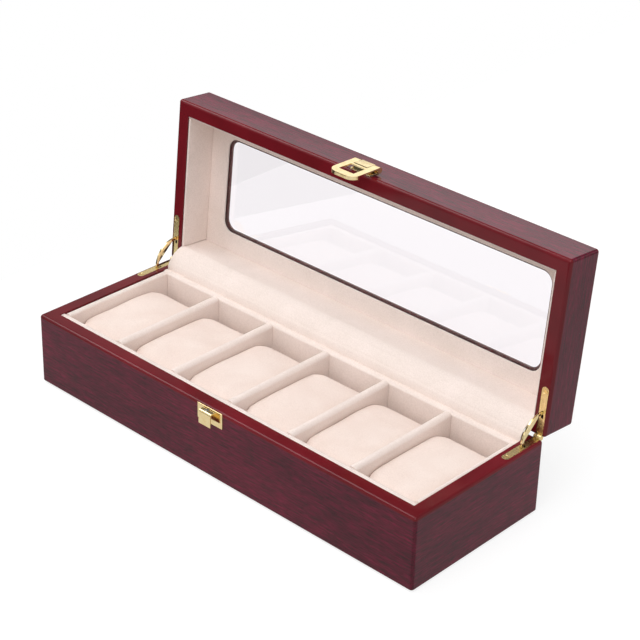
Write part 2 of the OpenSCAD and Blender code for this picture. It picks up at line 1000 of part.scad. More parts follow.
base_front_wall();
base_back_wall();
base_left_wall();
base_right_wall();
base_bottom_panel();
base_felt_pad();
base_floor_lining();
base_front_lining();
base_back_lining();
base_left_lining();
base_right_lining();
divider_1();
divider_2();
divider_3();
divider_4();
divider_5();
base_hinge_leaf_left();
base_hinge_leaf_right();
base_hinge_screws();
hinge_pins();
stay_arm_left();
stay_arm_right();
catch_plate();
catch_screw();
lid_front_wall();
lid_back_wall();
lid_left_wall();
lid_right_wall();
lid_window_frame();
window_glass();
lid_top_lining();
lid_front_lining();
lid_back_lining();
lid_left_lining();
lid_right_lining();
lid_hinge_leaf_left();
lid_hinge_leaf_right();
lid_hinge_screws();
hasp_mount_plate();
hasp_nails();
hasp_pin();
hasp_flap();
pillow_1();
pillow_2();
pillow_3();
pillow_4();
pillow_5();
pillow_6();
hinge_cover_cloth();
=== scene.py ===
import math

import bpy
from mathutils import Matrix, Vector, noise


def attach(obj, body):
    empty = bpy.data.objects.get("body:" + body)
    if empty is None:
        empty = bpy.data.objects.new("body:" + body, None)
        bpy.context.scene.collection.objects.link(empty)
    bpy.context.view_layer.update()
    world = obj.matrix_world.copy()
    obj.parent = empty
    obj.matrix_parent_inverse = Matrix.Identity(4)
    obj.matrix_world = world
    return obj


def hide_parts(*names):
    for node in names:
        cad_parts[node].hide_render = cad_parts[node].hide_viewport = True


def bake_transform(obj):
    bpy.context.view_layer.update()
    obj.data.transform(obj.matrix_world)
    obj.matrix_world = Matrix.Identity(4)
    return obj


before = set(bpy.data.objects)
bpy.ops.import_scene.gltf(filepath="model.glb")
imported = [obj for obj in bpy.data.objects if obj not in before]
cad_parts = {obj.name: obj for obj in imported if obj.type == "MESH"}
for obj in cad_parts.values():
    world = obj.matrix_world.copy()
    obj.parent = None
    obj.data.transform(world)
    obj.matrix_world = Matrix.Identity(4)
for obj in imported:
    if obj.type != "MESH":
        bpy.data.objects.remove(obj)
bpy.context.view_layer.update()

scene = bpy.context.scene
MM = 0.001


# ---------------------------------------- camera
# A long lens, a little over a metre away, looks down at the open box from
# the front right. The picture is square, 640 by 640.
focal_px, picture_px = 1906.2642, 640
distance = 1.0870135
turn = (Matrix.Rotation(math.radians(42.6079), 4, "Z")
        @ Matrix.Rotation(math.radians(90 - 29.1588), 4, "X")
        @ Matrix.Rotation(math.radians(1.607), 4, "Z"))
aim = Vector((0.0318535, 0, 0.0977073))
bpy.ops.object.camera_add()
camera = bpy.context.object
camera.matrix_world = Matrix.Translation(aim + turn.to_3x3() @ Vector((0, 0, distance))) @ turn
camera.data.sensor_width = 36
camera.data.lens = focal_px * camera.data.sensor_width / picture_px
camera.data.clip_end = 20
scene.camera = camera
scene.view_settings.view_transform = "Standard"


# ---------------------------------------- light and floor
# A product table in a studio: a sheet of white paper in a grey room that has
# a bright band 17 to 24 degrees up, and three square soft boxes, from the
# left, above and in front. The lens sees plain white round the box.
def linear(colour):
    """An sRGB hex colour as linear red, green, blue and alpha."""
    parts = [int(colour[i:i + 2], 16) / 255 for i in (1, 3, 5)]
    return [c / 12.92 if c <= 0.04045 else ((c + 0.055) / 1.055) ** 2.4 for c in parts] + [1]


def feed(node, inputs):
    """Sets or links a node's inputs."""
    for name, value in inputs.items():
        if isinstance(value, bpy.types.NodeSocket):
            node.id_data.links.new(value, node.inputs[name])
        else:
            node.inputs[name].default_value = value


def add(tree, kind, inputs=None, **settings):
    """Adds a node, gives it its settings, and sets or links its inputs."""
    made = tree.nodes.new(kind)
    for name, value in settings.items():
        setattr(made, name, value)
    feed(made, inputs or {})
    return made


def ramp(made, *stops):
    """Fills a colour ramp with (place, hex colour) stops."""
    elements = made.color_ramp.elements
    elements.remove(elements[1])
    for number, (place, colour) in enumerate(stops):
        stop = elements[0] if number == 0 else elements.new(place)
        stop.position, stop.color = place, linear(colour)
    return made.outputs["Color"]


def lens_view(tree):
    """Gives the light path node, and 1 for what the lens sees straight or through the glass.
    It is 1 in direct light samples too, so what is whitened by it lights the box a little."""
    path = add(tree, "ShaderNodeLightPath")
    bounced = add(tree, "ShaderNodeMath", {0: path.outputs["Glossy Depth"],
                                           1: path.outputs["Diffuse Depth"]}, operation="ADD")
    seen = add(tree, "ShaderNodeMath", {0: bounced.outputs[0], 1: 0.5}, operation="LESS_THAN")
    return path, seen


studio = bpy.data.worlds.new("studio")
scene.world = studio
studio.use_nodes = True
tree = studio.node_tree
tree.nodes.clear()
where = add(tree, "ShaderNodeTexCoord")
split = add(tree, "ShaderNodeSeparateXYZ", {0: where.outputs["Generated"]})
height = add(tree, "ShaderNodeMapRange", {"Value": split.outputs["Z"], "From Min": -1.0, "From Max": 1.0})
# from straight down at 0 over the horizon at 0.5 to straight up at 1
room = add(tree, "ShaderNodeValToRGB", {"Fac": height.outputs["Result"]})
room_light = ramp(room, (0.0, "#404040"), (0.49, "#404040"), (0.51, "#b0b0b0"), (0.632, "#b0b0b0"),
                  (0.648, "#ffffff"), (0.7, "#ffffff"), (0.73, "#b4b4b4"), (0.745, "#989898"),
                  (0.754, "#a4a4a4"), (0.762, "#7c7c7c"), (0.785, "#606060"), (1.0, "#a0a0a0"))
behind = add(tree, "ShaderNodeMapRange", {"Value": split.outputs["Y"], "From Min": -0.3, "From Max": 0.4,
                                          "To Min": 1.1, "To Max": 1.28})
path, seen = lens_view(tree)
lit = add(tree, "ShaderNodeBackground", {"Color": room_light, "Strength": behind.outputs["Result"]})
white = add(tree, "ShaderNodeBackground", {"Color": linear("#ffffff"), "Strength": 1.0})
both = add(tree, "ShaderNodeMixShader", {0: seen.outputs[0], 1: lit.outputs[0], 2: white.outputs[0]})
add(tree, "ShaderNodeOutputWorld", {"Surface": both.outputs[0]})


def soft_box(name, place, at, size, power):
    """A square lamp at a place, turned towards a point."""
    bpy.ops.object.light_add(type="AREA", location=place)
    lamp = bpy.context.object
    lamp.name = name
    lamp.data.size = size
    lamp.data.energy = power
    lamp.rotation_euler = (Vector(at) - Vector(place)).to_track_quat("-Z", "Y").to_euler()


soft_box("key_left", (-0.95, -0.25, 1.25), (0, 0, 0.06), 0.8, 7.2)
soft_box("top", (0.1, -0.12, 1.3), (0, 0, 0.05), 0.9, 4.5)
soft_box("front_high", (0.4, -0.95, 1.25), (0, 0, 0.08), 1.0, 7.8)

# The paper ends a little way left of the box, so that the lid's left rim
# mirrors the darker room. It lies 0.3 mm below the box's foot.
paper_mid, paper_size = (0.36, 0.24, -0.0003), (1.28, 1.25, 1)
bpy.ops.mesh.primitive_plane_add(size=1, location=paper_mid)
floor = bpy.context.object
floor.name = "floor"
floor.scale = paper_size
paper = bpy.data.materials.new("white_paper_sweep")
paper.use_nodes = True
tree = paper.node_tree
tree.nodes.clear()
path, seen = lens_view(tree)
# the paper glows for the lens, and by less in mirror reflections, so that it
# turns white round the box's shadow
glow_seen, glow_mirrored = 0.8, 0.5
mirrored = add(tree, "ShaderNodeMath", {0: path.outputs["Glossy Depth"], 1: glow_mirrored},
               operation="MINIMUM")
lift = add(tree, "ShaderNodeMath", {0: seen.outputs[0], 1: glow_seen, 2: mirrored.outputs[0]},
           operation="MULTIPLY_ADD")
matte = add(tree, "ShaderNodeBsdfDiffuse", {"Color": linear("#909090")})
glow = add(tree, "ShaderNodeEmission", {"Color": linear("#ffffff"), "Strength": lift.outputs[0]})
both = add(tree, "ShaderNodeAddShader", {0: matte.outputs[0], 1: glow.outputs[0]})
add(tree, "ShaderNodeOutputMaterial", {"Surface": both.outputs[0]})
floor.data.materials.append(paper)


# ---------------------------------------- base case
# The lower half of the box: four walls and a bottom of board, faced with a
# printed rosewood veneer and then lacquered. Rims and rounded edges are
# painted deep red before the clear coat. Slots for the hinges are milled
# into the two end walls.
case_half = (155.0, 55.0)
inner_half = (146.0, 46.0)
foot_z, base_z = 0.8, 48.2
board_z = 4.3
edge_r, foot_r = 2.0, 0.8
hinge_x, pin_y, pin_z = 150.8, 55.3, 48.45
leaf_half, leaf_end_y = 2.3, 26.0
arm_r, arm_in_r = 16.1, 11.8
notch_r, notch_half = 2.05, 2.4
# the milled slots' play round what runs in them, and how deep the leaf beds are
leaf_room, arm_room, arm_room_x, bed_depth = 0.1, 0.2, 1.2, 1.6
# a half-round end is bevelled by a little less than its half width, or it closes on itself
nearly_all = 0.98


def block(name, low, high):
    """A box between two corners given in millimetres, with its place in its mesh."""
    bpy.ops.mesh.primitive_cube_add(size=1)
    made = bpy.context.object
    made.name = name
    made.scale = [(b - a) * MM for a, b in zip(low, high)]
    made.location = [(a + b) / 2 * MM for a, b in zip(low, high)]
    bpy.ops.object.transform_apply(location=True, rotation=True, scale=True)
    return made


def rod(name, radius, low, high, y, z, sides=64):
    """A cylinder along X, in millimetres."""
    bpy.ops.mesh.primitive_cylinder_add(vertices=sides, radius=radius * MM, depth=(high - low) * MM,
                                        location=((low + high) / 2 * MM, y * MM, z * MM),
                                        rotation=(0, math.pi / 2, 0))
    made = bpy.context.object
    made.name = name
    bpy.ops.object.transform_apply(location=True, rotation=True, scale=True)
    return made


def only(piece):
    """Makes a piece the only one selected, and the active one."""
    bpy.ops.object.select_all(action="DESELECT")
    piece.select_set(True)
    bpy.context.view_layer.objects.active = piece


def pick(piece, kind, test):
    """Opens a piece in edit mode with the faces or edges selected whose middle, in
    millimetres, and normal or direction pass the test."""
    only(piece)
    bpy.context.tool_settings.mesh_select_mode = (False, kind == "EDGE", kind == "FACE")
    bpy.ops.object.mode_set(mode="EDIT")
    bpy.ops.mesh.select_all(action="DESELECT")
    bpy.ops.object.mode_set(mode="OBJECT")
    mesh = piece.data
    for part in (mesh.polygons if kind == "FACE" else mesh.edges):
        if kind == "FACE":
            middle, way = part.center / MM, part.normal
        else:
            a, b = (mesh.vertices[i].co for i in part.vertices)
            middle, way = (a + b) / 2 / MM, (b - a).normalized()
        part.select = test(middle, way)
    bpy.ops.object.mode_set(mode="EDIT")


def round_edges(piece, radius, segments, test):
    """Rounds the edges of a piece that pass the test."""
    pick(piece, "EDGE", test)
    bpy.ops.mesh.bevel(offset=radius * MM, segments=segments, affect="EDGES")
    bpy.ops.object.mode_set(mode="OBJECT")


def use(piece, kind, **settings):
    """Adds a modifier with its settings and applies it."""
    only(piece)
    modifier = piece.modifiers.new(kind.lower(), kind)
    for name, value in settings.items():
        setattr(modifier, name, value)
    bpy.ops.object.modifier_apply(modifier=modifier.name)


def join(piece, tool, operation):
    """Cuts a tool from a piece, adds it, or keeps what both share, and removes the tool."""
    use(piece, "BOOLEAN", object=tool, operation=operation, solver="EXACT")
    bpy.data.objects.remove(tool)


def settle(piece, body, materials, paint=None, angle=30):
    """Cleans a finished mesh, shades it so that flat faces stay flat, gives it its
    materials and puts it on its body."""
    only(piece)
    bpy.ops.object.mode_set(mode="EDIT")
    bpy.ops.mesh.select_all(action="SELECT")
    bpy.ops.mesh.remove_doubles(threshold=0.000002)
    bpy.ops.mesh.normals_make_consistent(inside=False)
    bpy.ops.object.mode_set(mode="OBJECT")
    bpy.ops.object.shade_smooth_by_angle(angle=math.radians(angle))
    if angle < 180:
        use(piece, "WEIGHTED_NORMAL", keep_sharp=True)
    piece.data.materials.clear()
    for material in materials:
        piece.data.materials.append(material)
    if paint:
        for face in piece.data.polygons:
            face.material_index = paint(face.center / MM, face.normal)
    if body:
        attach(piece, body)
    return piece


def leaf_bed(side, low, high):
    """The milled bed of a hinge leaf, round at its front end."""
    half = leaf_half + leaf_room
    bed = block("bed", (side * hinge_x - half, leaf_end_y - half, low),
                (side * hinge_x + half, pin_y + 3, high))
    round_edges(bed, half * nearly_all, 8, lambda m, way: abs(way.z) > 0.9 and m.y < leaf_end_y)
    return bed


def arm_pocket(side):
    """The deep curved slot in which a stay arm runs."""
    x = side * hinge_x
    pocket = rod("pocket", arm_r + arm_room, x - arm_room_x, x + arm_room_x, pin_y, pin_z, 96)
    join(pocket, rod("core", arm_in_r - arm_room, x - 3, x + 3, pin_y, pin_z, 96), "DIFFERENCE")
    join(pocket, block("front", (x - 5, 20, 0), (x + 5, pin_y - 5, 100)), "INTERSECT")
    return pocket


def cut_hinge_slots(case, low, high):
    """Mills the leaf beds, arm pockets and knuckle notches into a case's end walls."""
    for side in (-1, 1):
        x = side * hinge_x
        join(case, leaf_bed(side, low, high), "DIFFERENCE")
        join(case, arm_pocket(side), "DIFFERENCE")
        join(case, rod("notch", notch_r, x - notch_half, x + notch_half, pin_y, pin_z), "DIFFERENCE")


def new_material(name):
    """Starts a material, and gives its tree, its shader and its Object coordinates."""
    made = bpy.data.materials.new(name)
    made.use_nodes = True
    tree = made.node_tree
    place = add(tree, "ShaderNodeTexCoord").outputs["Object"]
    return made, tree, tree.nodes["Principled BSDF"], place


# Rosewood veneer: straight-grained reddish brown wood, sliced thin. Short
# dark and red flecks run along the grain over slow cloudy changes of
# colour, all under a level clear coat. The grain follows each wall's length.
# The coat's IOR is below lacquer's usual 1.5, to match its faint reflections.
def veneer(name, grain):
    made, tree, shader, place = new_material(name)
    along = add(tree, "ShaderNodeMapping", {"Vector": place, "Rotation": grain}).outputs[0]
    # flecks 13 mm long and 1.1 mm wide
    fleck_at = add(tree, "ShaderNodeMapping",
                   {"Vector": along, "Scale": (1 / 0.013, 1 / 0.0011, 1 / 0.0011)})
    fleck = add(tree, "ShaderNodeTexNoise", {"Vector": fleck_at.outputs[0], "Scale": 1.0, "Detail": 3.0,
                                             "Roughness": 0.62, "Distortion": 0.25})
    # clouds 70 mm long and 16 mm wide
    cloud_at = add(tree, "ShaderNodeMapping", {"Vector": along, "Scale": (1 / 0.07, 1 / 0.016, 1 / 0.016)})
    cloud = add(tree, "ShaderNodeTexNoise", {"Vector": cloud_at.outputs[0], "Scale": 1.0, "Detail": 3.0,
                                             "Roughness": 0.6, "Distortion": 0.6})
    # pores 5 mm long and 0.5 mm wide, drawn wider than real ones so that they show
    pore_at = add(tree, "ShaderNodeMapping",
                  {"Vector": along, "Scale": (1 / 0.005, 1 / 0.0005, 1 / 0.0005)})
    pore = add(tree, "ShaderNodeTexNoise", {"Vector": pore_at.outputs[0], "Scale": 1.0, "Detail": 1.0})
    flecks = ramp(add(tree, "ShaderNodeValToRGB", {"Fac": fleck.outputs["Fac"]}),
                  (0.30, "#471e24"), (0.43, "#581a29"), (0.52, "#681930"), (0.62, "#781a37"),
                  (0.74, "#881c42"))
    clouds = ramp(add(tree, "ShaderNodeValToRGB", {"Fac": cloud.outputs["Fac"]}),
                  (0.30, "#d2ced0"), (0.45, "#e8e4e6"), (0.60, "#fff8f8"), (0.75, "#fff0f2"))
    pores = ramp(add(tree, "ShaderNodeValToRGB", {"Fac": pore.outputs["Fac"]}),
                 (0.32, "#c4bcbc"), (0.48, "#ffffff"))
    tinted = add(tree, "ShaderNodeMix", {"Factor": 1.0, 6: flecks, 7: clouds}, data_type="RGBA",
                 blend_type="MULTIPLY")
    pored = add(tree, "ShaderNodeMix", {"Factor": 0.8, 6: tinted.outputs[2], 7: pores}, data_type="RGBA",
                blend_type="MULTIPLY")
    bump = add(tree, "ShaderNodeBump", {"Height": pore.outputs["Fac"], "Strength": 0.05, "Distance": 0.00005})
    feed(shader, {"Base Color": pored.outputs[2], "Normal": bump.outputs[0], "Roughness": 0.1, "IOR": 1.3})
    return made


veneer_long = veneer("rosewood_veneer_long", (0, 0, 0))
veneer_end = veneer("rosewood_veneer_end", (0, 0, math.pi / 2))

# Polyester lacquer over deep red paint: almost one colour, a little browner
# in slow patches, with a clear mirror gloss.
edge_lacquer, tree, shader, place = new_material("deep_red_polyester_lacquer")
# patches 45 mm across, and orange peel 2.5 mm across
patch = add(tree, "ShaderNodeTexNoise", {"Vector": place, "Scale": 22.0, "Detail": 3.0})
paint = ramp(add(tree, "ShaderNodeValToRGB", {"Fac": patch.outputs["Fac"]}),
             (0.32, "#5e151b"), (0.50, "#6a161e"), (0.68, "#741822"))
peel = add(tree, "ShaderNodeTexNoise", {"Vector": place, "Scale": 400.0, "Detail": 1.0})
bump = add(tree, "ShaderNodeBump", {"Height": peel.outputs["Fac"], "Strength": 0.03, "Distance": 0.0001})
feed(shader, {"Base Color": paint, "Normal": bump.outputs[0], "Roughness": 0.1, "IOR": 1.33})

# Bare fibreboard inside the hinge slots: dark and dry, with specks 1.1 mm across.
raw_board, tree, shader, place = new_material("raw_fibreboard")
speck = add(tree, "ShaderNodeTexNoise", {"Vector": place, "Scale": 900.0, "Detail": 2.0})
fibre = ramp(add(tree, "ShaderNodeValToRGB", {"Fac": speck.outputs["Fac"]}),
             (0.3, "#2a1410"), (0.7, "#4a2a1c"))
feed(shader, {"Base Color": fibre, "Roughness": 0.85})


def hollow(case, up, rise):
    """Sinks the open side of a case, facing up or down, in between its four walls."""
    pick(case, "FACE", lambda m, n: n.z * up > 0.99)
    bpy.ops.mesh.inset(thickness=(case_half[0] - edge_r - inner_half[0]) * MM)
    bpy.ops.mesh.extrude_region_move(TRANSFORM_OT_translate={"value": (0, 0, rise * MM)})
    bpy.ops.object.mode_set(mode="OBJECT")


base_case = block("base_case", (-case_half[0], -case_half[1], foot_z), (*case_half, base_z))
round_edges(base_case, edge_r, 5, lambda m, way: abs(way.z) > 0.9 or m.z > base_z - 0.1)
round_edges(base_case, foot_r, 3, lambda m, way: m.z < foot_z + 0.1)
hollow(base_case, 1, board_z - base_z)
cut_hinge_slots(base_case, base_z - bed_depth, base_z + 1)


def case_paint(m, n, slot_low, slot_high, top=math.inf):
    """The finish of a case's face: 0 long veneer, 1 end veneer, 2 lacquer on rims and
    edges, 3 bare board in the slots between two heights. The veneer goes round the
    upright corners, and over a lid's top where that is given."""
    corner = (abs(n.z) < 0.05 and abs(m.x) > case_half[0] - edge_r - 0.1
              and abs(m.y) > case_half[1] - edge_r - 0.1)
    outer = abs(m.x) > case_half[0] - 0.1 or abs(m.y) > case_half[1] - 0.1 or m.z > top - 0.05
    slot = abs(abs(m.x) - hinge_x) < 3 and m.y > leaf_end_y - 4 and slot_low < m.z < slot_high
    if corner:
        return 0 if abs(n.y) > abs(n.x) else 1
    if outer and (abs(n.y) > 0.99 or n.z > 0.99):
        return 0
    if outer and abs(n.x) > 0.99:
        return 1
    return 3 if slot else 2


settle(base_case, "base", (veneer_long, veneer_end, edge_lacquer, raw_board),
       lambda m, n: case_paint(m, n, 0, base_z - 0.1))
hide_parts("base_front_wall", "base_back_wall", "base_left_wall", "base_right_wall",
            "base_bottom_panel")


# ---------------------------------------- pad under the base
# A thin sheet of dark red flocked card, glued under the bottom so that the
# box does not scratch a table. Its cut edge is a little rounded.
pad_in = 1.5
pad_half = (case_half[0] - pad_in, case_half[1] - pad_in)
pad = block("base_pad", (-pad_half[0], -pad_half[1], 0), (*pad_half, foot_z))
round_edges(pad, 2, 5, lambda m, way: abs(way.z) > 0.9)
round_edges(pad, 0.3, 2, lambda m, way: m.z < 0.1)

# Flock: short rayon fibre on glue, dull and even, with a faint nap.
flock, tree, shader, place = new_material("dark_red_flock")
# the fibres are some 0.02 mm thick; tufts are drawn 0.7 mm across so that they show
tuft = add(tree, "ShaderNodeTexNoise", {"Vector": place, "Scale": 1400.0, "Detail": 2.0})
pile = ramp(add(tree, "ShaderNodeValToRGB", {"Fac": tuft.outputs["Fac"]}),
            (0.3, "#2c0c10"), (0.7, "#4a1a20"))
bump = add(tree, "ShaderNodeBump", {"Height": tuft.outputs["Fac"], "Strength": 0.4, "Distance": 0.0002})
feed(shader, {"Base Color": pile, "Normal": bump.outputs[0], "Roughness": 0.95, "Sheen Weight": 0.3})
settle(pad, "base", (flock,))
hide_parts("base_felt_pad")


# ---------------------------------------- lining of the base
# Strips of card, padded and wrapped in cream velvet, stand against the four
# walls; a flat sheet covers the floor. The end strips and the dividers are
# pushed in between the two long ones, so each joint shows as a soft crease.
lining_z = 47.4
floor_low, floor_z = 4.3, 5.5
end_t = 4.0
bay_half_d = 41.0
end_room = 0.1


# Cream velvet: a short dense pile that scatters light softly. The nap lies in
# slightly different ways, so the colour drifts from a deeper to a lighter
# cream in patches 26 mm across. The grain of the pile is drawn 0.6 or 0.7 mm
# wide, coarser than real pile, so that it shows.
def velvet(name, deep, light, pile_mm):
    made, tree, shader, place = new_material(name)
    nap = add(tree, "ShaderNodeTexNoise", {"Vector": place, "Scale": 38.0, "Detail": 3.0, "Roughness": 0.55,
                                           "Distortion": 0.5})
    tuft = add(tree, "ShaderNodeTexNoise", {"Vector": place, "Scale": 1 / (pile_mm * MM), "Detail": 3.0,
                                            "Roughness": 0.7})
    drift = ramp(add(tree, "ShaderNodeValToRGB", {"Fac": nap.outputs["Fac"]}), (0.32, deep), (0.66, light))
    grain = ramp(add(tree, "ShaderNodeValToRGB", {"Fac": tuft.outputs["Fac"]}),
                 (0.28, "#f1efee"), (0.6, "#ffffff"))
    colour = add(tree, "ShaderNodeMix", {"Factor": 1.0, 6: drift, 7: grain}, data_type="RGBA",
                 blend_type="MULTIPLY")
    depth = add(tree, "ShaderNodeMath", {0: nap.outputs["Fac"], 1: 2.0}, operation="MULTIPLY")
    relief = add(tree, "ShaderNodeMath", {0: tuft.outputs["Fac"], 1: depth.outputs[0]}, operation="ADD")
    bump = add(tree, "ShaderNodeBump", {"Height": relief.outputs[0], "Strength": 0.25, "Distance": 0.0003})
    feed(shader, {"Base Color": colour.outputs[2], "Normal": bump.outputs[0], "Roughness": 0.92, "IOR": 1.35,
                  "Sheen Weight": 0.25, "Sheen Roughness": 0.5, "Sheen Tint": linear("#fff2ec")})
    return made


# The linings' velvet is painted a touch lighter and less pink than the pillows' velvet below. This painted
# light makes up for the shade that falls on the walls, on the dividers and under the lid.
lining_velvet_lightened_for_shade = velvet("cream_lining_velvet", "#f3e5dd", "#f9ebe4", 0.7)


def padded_strip(name, low, high, rounding):
    """A card strip with padded, rounded top edges along its length."""
    strip = block(name, low, high)
    round_edges(strip, rounding, 5, lambda m, way: m.z > high[2] - 0.1 and
                (abs(way.x) > 0.9 if high[0] - low[0] > high[1] - low[1] else abs(way.y) > 0.9))
    round_edges(strip, 0.4, 2, lambda m, way: abs(way.z) > 0.9)
    return strip


def line(piece, body, node):
    """Covers a padded piece in the lining's velvet, in place of one CAD node."""
    settle(piece, body, (lining_velvet_lightened_for_shade,))
    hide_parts(node)


floor_lining = block("floor_lining", (-inner_half[0], -inner_half[1], floor_low), (*inner_half, floor_z))
round_edges(floor_lining, 0.3, 2, lambda m, way: m.z > floor_z - 0.1)
line(floor_lining, "base", "base_floor_lining")

for name, side in (("front", -1), ("back", 1)):
    near, far = sorted((side * bay_half_d, side * inner_half[1]))
    strip = padded_strip(name + "_lining", (-inner_half[0], near, floor_z),
                         (inner_half[0], far, lining_z), 1.9)
    line(strip, "base", f"base_{name}_lining")

for name, side in (("left", -1), ("right", 1)):
    near, far = sorted((side * (inner_half[0] - end_t), side * inner_half[0]))
    strip = padded_strip(name + "_lining", (near, end_room - bay_half_d, floor_z),
                         (far, bay_half_d - end_room, lining_z), 1.7)
    line(strip, "base", f"base_{name}_lining")


# ---------------------------------------- dividers
# Five cards, padded on both faces and wrapped in the same velvet, with a
# full round top. They are one piece repeated, and stand on the floor lining.
divider_half = 2.75
bay_pitch = 48.25


def copy_along(piece, name, shift):
    """A copy of a piece, with its own mesh, moved along X by a shift in millimetres."""
    made = piece.copy()
    made.data = piece.data.copy()
    made.name = name
    scene.collection.objects.link(made)
    made.data.transform(Matrix.Translation((shift * MM, 0, 0)))
    return made


first = padded_strip("divider_1_padded", (-2 * bay_pitch - divider_half, end_room - bay_half_d, floor_z),
                     (-2 * bay_pitch + divider_half, bay_half_d - end_room, lining_z), 2.6)
dividers = [first] + [copy_along(first, f"divider_{number}_padded", (number - 1) * bay_pitch)
                      for number in range(2, 6)]
for number, divider in enumerate(dividers, 1):
    line(divider, "base", f"divider_{number}")


# ---------------------------------------- pillows
# Six watch pillows: a block of soft foam in a velvet cover, sewn along the
# outline of both end panels. A watch is strapped round one, and the pillow
# is pressed into its place. The cover is pulled round by the foam's pressure.
pillow_half = Vector((20.6, 38.2, 18.85))
pillow_mid = Vector((-2.5 * bay_pitch, -2.2, 24.55))
# the outline's corners: 2 is an ellipse, and more is squarer
pillow_power = 3.6
seam_in = 1.4
end_r = 1.6
# the foam before it swells and after it is pressed in, as shares of the size above
slack, pressed = (0.965, 0.975, 0.955), (1.065, 1.02, 1.0)
side_give, top_give = 0.25, 0.6
# how deep the dents are on top, and how many there are in a metre
dent, dents_per_m = 0.6, 45

# The pillows' velvet is the same cloth in a slightly deeper, pinker cream; the
# linings' copy above is painted lighter to make up for the shade they stand in.
# A sewn seam runs round it a little way inside each end. The seam is drawn
# once, and repeats with the bays.
pillow_velvet = velvet("cream_pillow_velvet", "#f3e0d6", "#f9e9e0", 0.6)
tree = pillow_velvet.node_tree
shader = tree.nodes["Principled BSDF"]
place = add(tree, "ShaderNodeTexCoord").outputs["Object"]
split = add(tree, "ShaderNodeSeparateXYZ", {0: place})
shift = add(tree, "ShaderNodeMath", {0: split.outputs["X"], 1: 10 * bay_pitch * MM}, operation="ADD")
in_bay = add(tree, "ShaderNodeMath", {0: shift.outputs[0], 1: bay_pitch / 2 * MM}, operation="PINGPONG")
seam_at = (bay_pitch / 2 - pillow_half.x + seam_in) * MM
off_seam = add(tree, "ShaderNodeMath", {0: in_bay.outputs[0], 1: seam_at}, operation="SUBTRACT")
width = add(tree, "ShaderNodeMath", {0: off_seam.outputs[0]}, operation="ABSOLUTE")
seam = add(tree, "ShaderNodeMapRange", {"Value": width.outputs[0], "From Min": 0.0, "From Max": 0.0006,
                                        "To Min": 1.0, "To Max": 0.0}, interpolation_type="SMOOTHSTEP")
old = shader.inputs["Normal"].links[0].from_node
sewn = add(tree, "ShaderNodeBump", {"Height": seam.outputs["Result"], "Strength": 0.5, "Distance": 0.0004,
                                    "Normal": old.outputs[0]}, invert=True)
feed(shader, {"Normal": sewn.outputs[0]})


def make_pillow():
    """One foam block in the first bay: a rounded outline drawn out along X."""
    foam = block("pillow_1_cover", pillow_mid - pillow_half, pillow_mid + pillow_half)
    pick(foam, "FACE", lambda m, n: True)
    bpy.ops.mesh.subdivide(number_cuts=13)
    bpy.ops.object.mode_set(mode="OBJECT")
    for point in foam.data.vertices:
        part = [(c / MM - mid) / half for c, mid, half in zip(point.co, pillow_mid, pillow_half)]
        radius = max(abs(part[1]), abs(part[2]))
        if radius > 0:
            total = abs(part[1]) ** pillow_power + abs(part[2]) ** pillow_power
            scale = radius / total ** (1 / pillow_power)
            part[1] *= scale
            part[2] *= scale
        point.co = [(mid + half * p) * MM for mid, half, p in zip(pillow_mid, pillow_half, part)]
    # the outline's own edges at both ends, and none inside the end faces
    round_edges(foam, end_r, 3, lambda m, way: abs(abs(m.x - pillow_mid.x) - pillow_half.x) < 0.01 and
                (abs(m.y - pillow_mid.y) / pillow_half.y) ** pillow_power
                + (abs(m.z - pillow_mid.z) / pillow_half.z) ** pillow_power > 0.93)
    return foam


def inflate(piece, voxel, frames, cap):
    """Remeshes a closed piece, blows it up as cloth for some frames, and keeps each point
    within a cap, in millimetres, of its start."""
    use(piece, "REMESH", mode="VOXEL", voxel_size=voxel * MM)
    start = [v.co.copy() for v in piece.data.vertices]
    cloth = piece.modifiers.new("cloth", "CLOTH")
    cloth.settings.use_pressure = True
    cloth.settings.uniform_pressure_force = 4
    cloth.settings.effector_weights.gravity = 0
    cloth.settings.quality = 6
    cloth.settings.tension_stiffness = 30
    cloth.settings.compression_stiffness = 30
    for step in range(1, frames + 1):
        scene.frame_set(step)
    held = piece.evaluated_get(bpy.context.evaluated_depsgraph_get())
    after = [v.co.copy() for v in held.data.vertices]
    piece.modifiers.clear()
    for point, a, b in zip(piece.data.vertices, start, after):
        move = b - a
        if move.length > cap * MM:
            move = move.normalized() * cap * MM
        point.co = a + move
    scene.frame_set(1)


def stretch(piece, share):
    """Scales a piece about the first pillow's middle."""
    pick(piece, "FACE", lambda m, n: True)
    bpy.ops.transform.resize(value=share, center_override=pillow_mid * MM)
    bpy.ops.object.mode_set(mode="OBJECT")


cushion = make_pillow()
stretch(cushion, slack)
inflate(cushion, voxel=4, frames=20, cap=2.4)
use(cushion, "SMOOTH", factor=0.5, iterations=2)
use(cushion, "SUBSURF", levels=1, render_levels=1)
stretch(cushion, pressed)
for point in cushion.data.vertices:
    # the dividers on each side and the floor below keep the cover flat there
    for axis, give in ((0, side_give), (2, top_give)):
        gap = point.co[axis] / MM - pillow_mid[axis]
        limit = pillow_half[axis] + (give if gap > 0 or axis == 0 else 0)
        point.co[axis] = (pillow_mid[axis] + max(-limit, min(limit, gap))) * MM

pillows = [cushion] + [copy_along(cushion, f"pillow_{number}_cover", (number - 1) * bay_pitch)
                       for number in range(2, 7)]
for number, pillow in enumerate(pillows, 1):
    for point in pillow.data.vertices:
        # no two are stuffed quite alike
        if point.co.z > pillow_mid.z * MM:
            at = point.co * dents_per_m + Vector((number * 7.3, 0, 0))
            point.co.z += dent * MM * (noise.noise(at) - 0.2)
    settle(pillow, f"pillow_{number}", (pillow_velvet,), angle=180)
    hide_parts(f"pillow_{number}")


